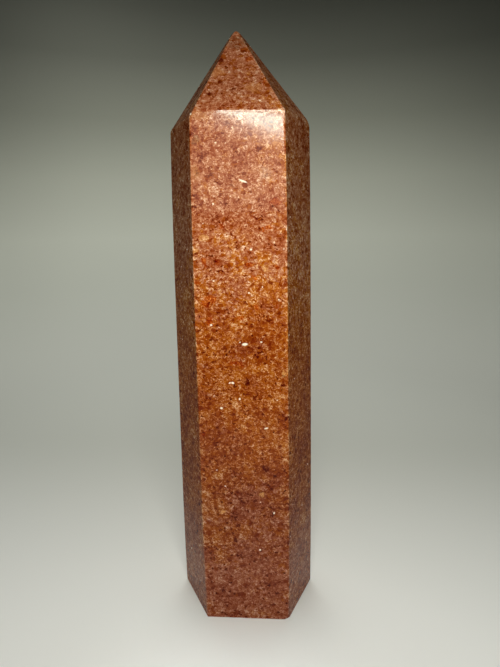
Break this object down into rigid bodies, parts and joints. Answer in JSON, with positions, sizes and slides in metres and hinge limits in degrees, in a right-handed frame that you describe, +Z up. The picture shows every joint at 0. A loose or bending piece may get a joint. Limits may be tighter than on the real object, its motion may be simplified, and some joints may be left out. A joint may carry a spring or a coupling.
{
  "type": "sunstone tower",
  "caption": "Free-standing tapering crystal tower of polished spangled orange stone, with a faceted pointed crown and a flat foot.",
  "frame": {"origin": "middle of the tower's box, on the flat foot that it stands on", "axes": "+Z up from the foot to the point, -Y out of the broad front face, +X to the right seen from the front"},
  "size_m": [0.0548, 0.0452, 0.2213],
  "materials": {
    "sunstone": "ground and polished, salmon orange and red-brown grain with honey patches and bright coppery flakes"
  },
  "bodies": {
    "root": {"sunstone_tower": "sunstone"}
  },
  "joints": []
}
